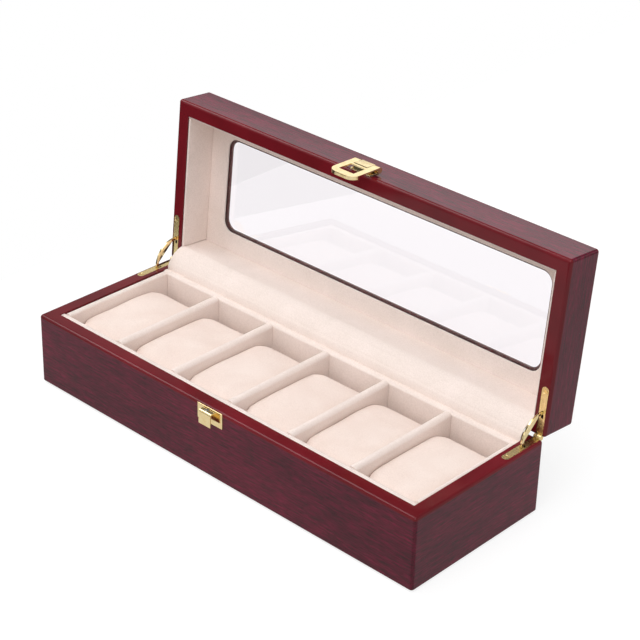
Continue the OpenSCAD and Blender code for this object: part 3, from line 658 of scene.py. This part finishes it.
# ---------------------------------------- lid case
# The lid is a shallow tray of the same faced and lacquered board, upside
# down, with a long round-cornered window cut in its top. A rebate inside
# takes the glass. It is drawn shut, then swung open on its hinges.
lid_low, lid_top = 48.7, 75.4
frame_z = 72.2
window_half, window_r = (128.5, 30.5), 7.0
rebate_w, rebate_t = 4.0, 1.7
lid_open = 95.0
hinge_line = Vector((0, pin_y, pin_z)) * MM
swing = (Matrix.Translation(hinge_line) @ Matrix.Rotation(math.radians(-lid_open), 4, "X")
         @ Matrix.Translation(-hinge_line))


def put(piece, matrix):
    """Moves and turns a piece by a matrix, and writes that into its mesh."""
    only(piece)
    piece.matrix_world = matrix
    bpy.ops.object.transform_apply(location=True, rotation=True, scale=True)
    return piece


def open_up(piece):
    """Swings a piece drawn on the shut lid to where it is when the lid is open."""
    return put(piece, swing)


def window_slab(name, wider, radius, low, high):
    """A round-cornered slab of the window's outline, wider by some millimetres all round."""
    x, y = (half + wider for half in window_half)
    slab = block(name, (-x, -y, low), (x, y, high))
    round_edges(slab, radius, 10, lambda m, way: abs(way.z) > 0.9)
    return slab


# The lid's end walls have their grain up and down when it stands open.
veneer_lid_end = veneer("rosewood_veneer_lid_end", (math.radians(lid_open), 0, math.pi / 2))

lid_case = block("lid_case", (-case_half[0], -case_half[1], lid_low), (*case_half, lid_top))
round_edges(lid_case, edge_r, 5, lambda m, way: True)
hollow(lid_case, -1, frame_z - lid_low)
join(lid_case, window_slab("opening", 0, window_r, frame_z - 1, lid_top + 1), "DIFFERENCE")
round_edges(lid_case, 0.5, 2, lambda m, way: m.z > lid_top - 0.05 and
            abs(m.x) < window_half[0] + 0.1 and abs(m.y) < window_half[1] + 0.1)
join(lid_case, window_slab("rebate", rebate_w, window_r, frame_z - 1, frame_z + rebate_t), "DIFFERENCE")
cut_hinge_slots(lid_case, lid_low - 1, lid_low + bed_depth)
# the finishes are told apart on the shut lid, and given once it is open
lid_paint = [case_paint(face.center / MM, face.normal, lid_low + 0.1, frame_z, lid_top)
             for face in lid_case.data.polygons]
open_up(lid_case)
settle(lid_case, "lid", (veneer_long, veneer_lid_end, edge_lacquer, raw_board))
lid_case.data.polygons.foreach_set("material_index", lid_paint)
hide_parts("lid_front_wall", "lid_back_wall", "lid_left_wall", "lid_right_wall",
            "lid_window_frame")


# ---------------------------------------- lining of the lid
# Thin velvet-covered card on the four inner faces, and one sheet under the
# top with its own round-cornered window. The sheet's edge round the window
# is turned in softly and stands a little back from the wooden opening.
roof_z = 71.0
lid_lining_t, lid_end_room = 1.5, 0.2
lining_low = 49.5
view_w = 1.5

roof = block("lid_roof_lining", (-inner_half[0], -inner_half[1], roof_z), (*inner_half, frame_z))
join(roof, window_slab("view", view_w, window_r + 0.5, roof_z - 1, frame_z + 1), "DIFFERENCE")
round_edges(roof, 0.7, 4, lambda m, way: m.z < roof_z + 0.05 and
            abs(m.x) < window_half[0] + view_w + 0.1 and abs(m.y) < window_half[1] + view_w + 0.1)
line(open_up(roof), "lid", "lid_top_lining")

for name, side in (("front", -1), ("back", 1)):
    near, far = sorted((side * (inner_half[1] - lid_lining_t), side * inner_half[1]))
    strip = block(f"lid_{name}_lining_strip", (-inner_half[0], near, lining_low),
                  (inner_half[0], far, roof_z))
    round_edges(strip, 0.6, 3, lambda m, way: abs(way.x) > 0.9 and
                (abs(m.y) < inner_half[1] - lid_lining_t + 0.05 or m.z < lining_low + 0.05))
    line(open_up(strip), "lid", f"lid_{name}_lining")

for name, side in (("left", -1), ("right", 1)):
    near, far = sorted((side * (inner_half[0] - lid_lining_t), side * inner_half[0]))
    long = inner_half[1] - lid_lining_t - lid_end_room
    strip = block(f"lid_{name}_lining_strip", (near, -long, lining_low), (far, long, roof_z))
    round_edges(strip, 0.6, 3, lambda m, way: abs(m.x) < inner_half[0] - lid_lining_t + 0.05
                or m.z < lining_low + 0.05)
    line(open_up(strip), "lid", f"lid_{name}_lining")


# ---------------------------------------- glass
# A pane of clear float glass with ground round corners and arrised edges,
# bedded in the rebate behind the wooden opening.
pane_w, pane_low, pane_high = 3.8, frame_z + 0.1, frame_z + 1.6
pane = window_slab("window_pane", pane_w, window_r, pane_low, pane_high)
round_edges(pane, 0.25, 2, lambda m, way: min(abs(m.z - pane_low), abs(m.z - pane_high)) < 0.01)

# Float glass: clear and smooth, and all but colourless.
glass, _, shader, _ = new_material("clear_float_glass")
feed(shader, {"Base Color": linear("#f8f4f7"), "Roughness": 0.0, "IOR": 1.5, "Transmission Weight": 1.0})
settle(open_up(pane), "lid", (glass,), angle=10)
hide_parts("window_glass")


# ---------------------------------------- cloth over the hinge line
# One strip of the cream velvet bridges the gap behind the pillows. It is
# glued to the top of the back lining and to the lid's lining, and rolls
# softly between them; two faint folds run along it where it bends.
cloth_half, cloth_t = 145.8, 0.5
# where it runs from the base's lining over to the lid's, as y and z
cloth_line = ((45.3, 46.9), (45.45, 49.0), (46.1, 51.2), (47.3, 53.1), (48.9, 54.8), (50.8, 56.3),
              (52.9, 57.5), (55.1, 58.5), (57.3, 59.15), (59.4, 59.3))
# each fold's place along the cloth's width, and their depth and width
folds, fold_deep, fold_w = (6.4, 13.2), 0.25, 0.45
# the sag between the glued edges, and the length of its slow waves
sag_deep, sag_wave = 0.4, 34

bpy.ops.mesh.primitive_grid_add(x_subdivisions=180, y_subdivisions=54, size=1)
hinge_cloth = bpy.context.object
hinge_cloth.name = "hinge_cloth"
steps = [0.0]
for a, b in zip(cloth_line, cloth_line[1:]):
    steps.append(steps[-1] + math.dist(a, b))
for point in hinge_cloth.data.vertices:
    part = point.co.y + 0.5
    went = part * steps[-1]
    number = max(i for i in range(len(cloth_line) - 1) if steps[i] <= went + 1e-9)
    share = (went - steps[number]) / (steps[number + 1] - steps[number])
    a, b = cloth_line[number], cloth_line[number + 1]
    along = (point.co.x + 0.5) * 2 * cloth_half - cloth_half
    fold = sum(fold_deep * math.exp(-((went - mid) / fold_w) ** 2) for mid in folds)
    sag = sag_deep * math.sin(math.pi * part) * noise.noise(Vector((along / sag_wave, part, 2.7)))
    in_y, in_z = (b[1] - a[1]), -(b[0] - a[0])
    size = math.hypot(in_y, in_z)
    y = a[0] + (b[0] - a[0]) * share + (fold + sag) * in_y / size
    z = a[1] + (b[1] - a[1]) * share + (fold + sag) * in_z / size
    point.co = Vector((along, y, z)) * MM
use(hinge_cloth, "SMOOTH", factor=0.5, iterations=6, use_x=False)
use(hinge_cloth, "SOLIDIFY", thickness=cloth_t * MM, offset=0.0)
settle(hinge_cloth, None, (lining_velvet_lightened_for_shade,), angle=60)
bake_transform(hinge_cloth)
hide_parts("hinge_cover_cloth")


# ---------------------------------------- lid hinges
# Narrow brass side-stay hinges, let into the rims of the two end walls. Each
# leaf is milled from bar: a flat with a round front end and one countersunk
# screw, a slot for the stay arm, and a lower step that ends in the knuckles.
leaf_t, leaf_step = 1.5, 0.6
step_y = 41.0
arm_slot_half, arm_slot_y = 0.8, (39.0, 43.7)
screw_y, screw_sunk = 26.5, 0.12
sink_r, sink_h, sink_mid = (0.8, 1.8), 1.1, 0.45
barrel_r, bore_r, knuckle_w, knuckle_space = 1.8, 0.95, 1.467, 0.1
shank_len, driver_half, driver_deep = 2.0, 0.21, 0.35
to_left = -2 * hinge_x
rim_z = {"base": base_z, "lid": lid_low}


# Brass is an alloy of copper and zinc: a yellow metal whose mirror is warm.
# Buffing leaves soft fine scratches, and handling dulls it in small patches.
def worn_metal(name, colour, duller_colour, rough, duller):
    made, tree, shader, place = new_material(name)
    # dull patches about 3 mm across
    patch = add(tree, "ShaderNodeTexNoise", {"Vector": place, "Scale": 1 / 0.003, "Detail": 3.0,
                                             "Roughness": 0.6})
    tone = ramp(add(tree, "ShaderNodeValToRGB", {"Fac": patch.outputs["Fac"]}),
                (0.35, colour), (0.75, duller_colour))
    gloss = add(tree, "ShaderNodeMapRange", {"Value": patch.outputs["Fac"], "From Min": 0.3, "From Max": 0.75,
                                             "To Min": rough, "To Max": duller})
    # buffing scratches are a few microns wide; they are drawn 0.12 mm wide so that they show
    scratch_at = add(tree, "ShaderNodeMapping",
                     {"Vector": place, "Scale": (1 / 0.0025, 1 / 0.00012, 1 / 0.00012)})
    scratch = add(tree, "ShaderNodeTexNoise", {"Vector": scratch_at.outputs[0], "Scale": 1.0, "Detail": 2.0})
    bump = add(tree, "ShaderNodeBump",
               {"Height": scratch.outputs["Fac"], "Strength": 0.08, "Distance": 0.00002})
    feed(shader, {"Base Color": tone, "Roughness": gloss.outputs["Result"], "Normal": bump.outputs[0],
                  "Metallic": 1.0})
    return made


milled_brass = worn_metal("milled_brass", "#f6e0a6", "#efd190", 0.22, 0.32)
polished_brass = worn_metal("polished_brass", "#f7e2b0", "#f0d396", 0.08, 0.16)


def soften(piece, width, segments=2):
    """Breaks the sharp edges of a metal piece, as tumbling does."""
    use(piece, "BEVEL", width=width * MM, segments=segments, limit_method="ANGLE",
        angle_limit=math.radians(35))


def across(name, radius, mid, wide, sides):
    """A rod about the hinge pin, round a middle measured along X from the right hinge's."""
    return rod(name, radius, hinge_x + mid - wide / 2, hinge_x + mid + wide / 2, pin_y, pin_z, sides)


def make_leaf(name, face, up):
    """A hinge leaf on the right, lid shut. Its face is at height face; its thickness runs
    down from there where up is 1, and up where it is -1."""
    def slab(label, half, near, far, high, low):
        heights = sorted((face + up * high, face + up * low))
        return block(label, (hinge_x - half, near, heights[0]), (hinge_x + half, far, heights[1]))

    leaf = slab(name, leaf_half, leaf_end_y - leaf_half, pin_y, 0, -leaf_t)
    round_edges(leaf, leaf_half * nearly_all, 10, lambda m, way: abs(way.z) > 0.9 and m.y < leaf_end_y)
    join(leaf, slab("step", leaf_half + 1, step_y, pin_y - barrel_r, 1, -leaf_step), "DIFFERENCE")
    join(leaf, slab("arm_slot", arm_slot_half, *arm_slot_y, 2, -leaf_t - 1), "DIFFERENCE")
    bpy.ops.mesh.primitive_cone_add(vertices=40, radius1=sink_r[0] * MM, radius2=sink_r[1] * MM,
                                    depth=sink_h * MM,
                                    location=(hinge_x * MM, screw_y * MM, (face - up * sink_mid) * MM),
                                    rotation=(0 if up > 0 else math.pi, 0, 0))
    sink = bpy.context.object
    bpy.ops.object.transform_apply(location=True, rotation=True, scale=True)
    join(leaf, sink, "DIFFERENCE")
    # the base's leaf has the two outer knuckles, and the lid's the one between them
    outer = (leaf_half + knuckle_w / 2 + knuckle_space) / 2
    outer_w = leaf_half - knuckle_w / 2 - knuckle_space
    if up > 0:
        knuckles = ((-outer, outer_w), (outer, outer_w))
        gaps = ((0, knuckle_w + 2 * knuckle_space),)
    else:
        knuckles = ((0, knuckle_w),)
        gaps = ((-outer - 0.5, outer_w + 1.2), (outer + 0.5, outer_w + 1.2))
    for mid, wide in knuckles:
        join(leaf, across("knuckle", barrel_r, mid, wide, 40), "UNION")
    for mid, wide in gaps:
        join(leaf, across("gap", notch_r, mid, wide, 40), "DIFFERENCE")
    join(leaf, across("bore", bore_r, 0, 10, 32), "DIFFERENCE")
    soften(leaf, 0.12)
    return leaf


def make_screw(name, face, up, turn, x=hinge_x, y=screw_y, head_r=1.5, head_h=0.9, shank_r=0.75,
               neck_r=0.75):
    """A slotted screw with its head at height face, facing up where up is 1. Its slot is
    turned by some degrees, and its neck is the narrow end of its head."""
    bpy.ops.mesh.primitive_cone_add(vertices=40, radius1=neck_r * MM, radius2=head_r * MM, depth=head_h * MM)
    screw = bpy.context.object
    screw.name = name
    screw.data.transform(Matrix.Translation((0, 0, -head_h / 2 * MM)))
    pick(screw, "FACE", lambda m, n: n.z < -0.99)
    bpy.ops.mesh.inset(thickness=max(neck_r - shank_r, 0.02) * MM)
    bpy.ops.mesh.extrude_region_move(TRANSFORM_OT_translate={"value": (0, 0, -shank_len * MM)})
    bpy.ops.object.mode_set(mode="OBJECT")
    round_edges(screw, 0.1, 2, lambda m, way: m.z > -0.01)
    join(screw, block("driver_slot", (-2, -driver_half, -driver_deep), (2, driver_half, 1)), "DIFFERENCE")
    screw.data.transform(Matrix.Rotation(math.radians(turn), 4, "Z"))
    if up < 0:
        screw.data.transform(Matrix.Rotation(math.pi, 4, "X"))
    screw.data.transform(Matrix.Translation(Vector((x, y, face)) * MM))
    return screw


for body, up in (("base", 1), ("lid", -1)):
    leaf = make_leaf(body + "_leaf_right", rim_z[body], up)
    screw = make_screw(body + "_screw_right", rim_z[body] - up * screw_sunk, up, 35 if up > 0 else -20)
    pair = [leaf, copy_along(leaf, body + "_leaf_left", to_left),
            screw, copy_along(screw, body + "_screw_left", to_left)]
    for piece in pair:
        if body == "lid":
            open_up(piece)
        settle(piece, body, (milled_brass,), angle=35)
    # one CAD node holds both screws
    for piece, node in zip(pair, ("leaf_right", "leaf_left", "screws")):
        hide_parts(f"{body}_hinge_{node}")

for name in ("hinge_pins", "hasp_pin", "hasp_nails"):
    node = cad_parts[name]
    node.data.materials.clear()
    node.data.materials.append(milled_brass)


# ---------------------------------------- lid stays
# A flat curved arm of pressed brass floats in the slots of each pair of
# leaves. Wide heads at its ends stop in the wood and hold the lid open.
arm_half, head_half = 0.6, 1.0
arm_ring_r = 14.3
# degrees round the pin from the rim of the base, and how many of them a head takes
arm_from, arm_to, head_turn = -11.0, 106.0, 3
arm_sides = 160


def keep_side(piece, angle, turn, away=0.0):
    """Cuts a piece along a plane at an angle round the hinge pin, and keeps one side of it."""
    rad = math.radians(angle)
    way = Vector((0, math.sin(rad), math.cos(rad))) * turn
    pick(piece, "FACE", lambda m, n: True)
    bpy.ops.mesh.bisect(plane_co=Vector((0, pin_y, pin_z)) * MM + way * away * MM, plane_no=way,
                        use_fill=True, clear_inner=True)
    bpy.ops.object.mode_set(mode="OBJECT")


def ring_part(name, half, start, stop):
    """Part of the arm's rim between two angles up from the rim of the base."""
    part = across(name, arm_r, 0, 2 * half, arm_sides)
    join(part, across("core", arm_ring_r, 0, 10, arm_sides), "DIFFERENCE")
    keep_side(part, start, 1)
    keep_side(part, stop, -1)
    return part


# the arm is round outside, and its middle is straight inside
arm = across("stay_right", arm_r, 0, 2 * arm_half, arm_sides)
keep_side(arm, arm_from, 1)
keep_side(arm, arm_to, -1)
core = across("core", arm_ring_r, 0, 10, arm_sides)
keep_side(core, lid_open / 2 - 90, -1, -arm_in_r)
join(arm, core, "DIFFERENCE")
soften(arm, 0.14)
join(arm, ring_part("low_head", head_half, arm_from, arm_from + head_turn), "UNION")
join(arm, ring_part("high_head", head_half, arm_to - head_turn, arm_to), "UNION")
for piece, side in ((arm, "right"), (copy_along(arm, "stay_left", to_left), "left")):
    settle(piece, "stay_arm_" + side, (polished_brass,), angle=35)
    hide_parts("stay_arm_" + side)


# ---------------------------------------- hasp on the lid
# A small brass hasp. A mounting plate with a raised block is nailed to the
# lid's front; the pressed flap turns on a pin through the block, and its
# rounded end is flanged inwards. It is drawn round its pin, on the shut lid.
hasp_pin_at = Vector((-0.4, -58.0, 55.8))
# from the pin: -Y is out from the lid's front, and -Z is towards the catch
mount_half, mount_low, mount_high = 8.0, -6.3, 1.6
wall_y, mount_t = 3.0, 0.9
flap_half, flap_low, flap_corner_r = 10.0, -23.6, 5.5
flap_face, flap_back = -1.9, -1.1
flange_t, flange_in, flange_high = 0.8, 0.3, 5.5
flap_window = ((-5.8, -18.6), (5.8, -8.0))
block_half, block_room = 5.2, 0.1
hasp_bore_r, flap_barrel_r = 0.85, 1.92
flap_droop = 3.0
hasp_swing = swing @ Matrix.Translation(hasp_pin_at * MM)


def hang(piece, droop=0.0):
    """Puts a piece drawn round the hasp's pin where it is on the open lid."""
    return put(piece, hasp_swing @ Matrix.Rotation(math.radians(droop), 4, "X"))


mount = block("hasp_mount", (-mount_half, wall_y - mount_t, mount_low), (mount_half, wall_y, mount_high))
soften(mount, 0.2)
knob = block("knob", (-block_half, flap_face, mount_low + 0.1), (block_half, wall_y - 0.5, mount_high))
round_edges(knob, 0.5, 4, lambda m, way: m.z > mount_high - 0.1 and m.y < 0 and abs(way.x) > 0.9)
soften(knob, 0.22)
join(mount, knob, "UNION")
join(mount, rod("bore", hasp_bore_r, -9, 9, 0, 0, 32), "DIFFERENCE")
settle(hang(mount), "lid", (polished_brass,), angle=35)
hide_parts("hasp_mount_plate")


def flap_plate(label, inset, near, far, high):
    """The flap's outline up to a height, as a slab brought in at its sides and rounded end."""
    low = flap_low + inset
    plate = block(label, (inset - flap_half, near, low), (flap_half - inset, far, high))
    round_edges(plate, flap_corner_r - inset, 10, lambda m, way: abs(way.y) > 0.9 and m.z < low + 0.1)
    return plate


flap = flap_plate("hasp_flap_pressed", 0, flap_face, flap_back, 0.2)
flange = flap_plate("flange", 0, flap_face + flange_in, flap_back + 1.5, flap_low + flange_high)
join(flange, flap_plate("hollow", flange_t, flap_face - 1, flap_back + 2, flap_low + flange_high + 0.1),
     "DIFFERENCE")
join(flap, flange, "UNION")
(left, low), (right, high) = flap_window
join(flap, block("window", (left, -3, low), (right, 0, high)), "DIFFERENCE")
for side in (-1, 1):
    # the barrels end a hair inside the flap's sides, since flush faces can spoil the union
    near, far = sorted((side * (block_half - 0.2), side * flap_half * 0.999))
    join(flap, rod("barrel", flap_barrel_r, near, far, 0, 0, 48), "UNION")
join(flap, block("gap", (-block_half - block_room, -3, -6.6), (block_half + block_room, 3, 3)), "DIFFERENCE")
join(flap, rod("bore", hasp_bore_r, -11, 11, 0, 0, 32), "DIFFERENCE")
soften(flap, 0.2)
settle(hang(flap, flap_droop), "hasp_flap", (polished_brass,), angle=35)
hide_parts("hasp_flap")


# ---------------------------------------- catch on the base
# The catch is one strip of the same brass, screwed flat to the front below
# the rim and folded out and down into a tongue that the flap's window
# drops over. A small steel screw with a low domed head sits in the fold.
plate_x, plate_z = (-11.25, 9.05), (37.9, 48.1)
tongue_x, tongue_z, tongue_y = (-6.0, 3.8), (38.2, 47.3), -60.0
tongue_root, front_y = 0.3, -case_half[1]
sheet_t, fold_r = 0.8, 1.6


def at_fold(m, way):
    """Tells the edge along which the strip is folded down."""
    return abs(way.x) > 0.9 and m.y < tongue_y + 1 and m.z > tongue_z[1] - 1


catch = block("catch", (plate_x[0], front_y - sheet_t, plate_z[0]), (plate_x[1], front_y, plate_z[1]))
soften(catch, 0.35, 3)
tongue = block("tongue", (tongue_x[0], tongue_y, tongue_z[0]),
               (tongue_x[1], front_y - tongue_root, tongue_z[1]))
round_edges(tongue, fold_r, 6, at_fold)
inside = block("inside", (tongue_x[0] - 1, tongue_y + sheet_t, tongue_z[0] - 1),
               (tongue_x[1] + 1, front_y + 1, tongue_z[1] - sheet_t))
round_edges(inside, fold_r - sheet_t, 6, at_fold)
join(tongue, inside, "DIFFERENCE")
soften(tongue, 0.25)
join(catch, tongue, "UNION")
settle(catch, "base", (polished_brass,), angle=35)
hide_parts("catch_plate")

# Plated steel: a grey mirror, dulled by zinc to a soft sheen.
plated_steel = worn_metal("zinc_plated_steel", "#a9a79c", "#8d8b80", 0.28, 0.4)
dome_h = 0.4
catch_screw = make_screw("catch_screw_domed", tongue_z[1] + dome_h, 1, -35, x=-1.7, y=-57.4,
                         head_r=1.1, head_h=dome_h, shank_r=0.7, neck_r=1.5)
settle(catch_screw, "base", (plated_steel,), angle=35)
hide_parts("catch_screw")
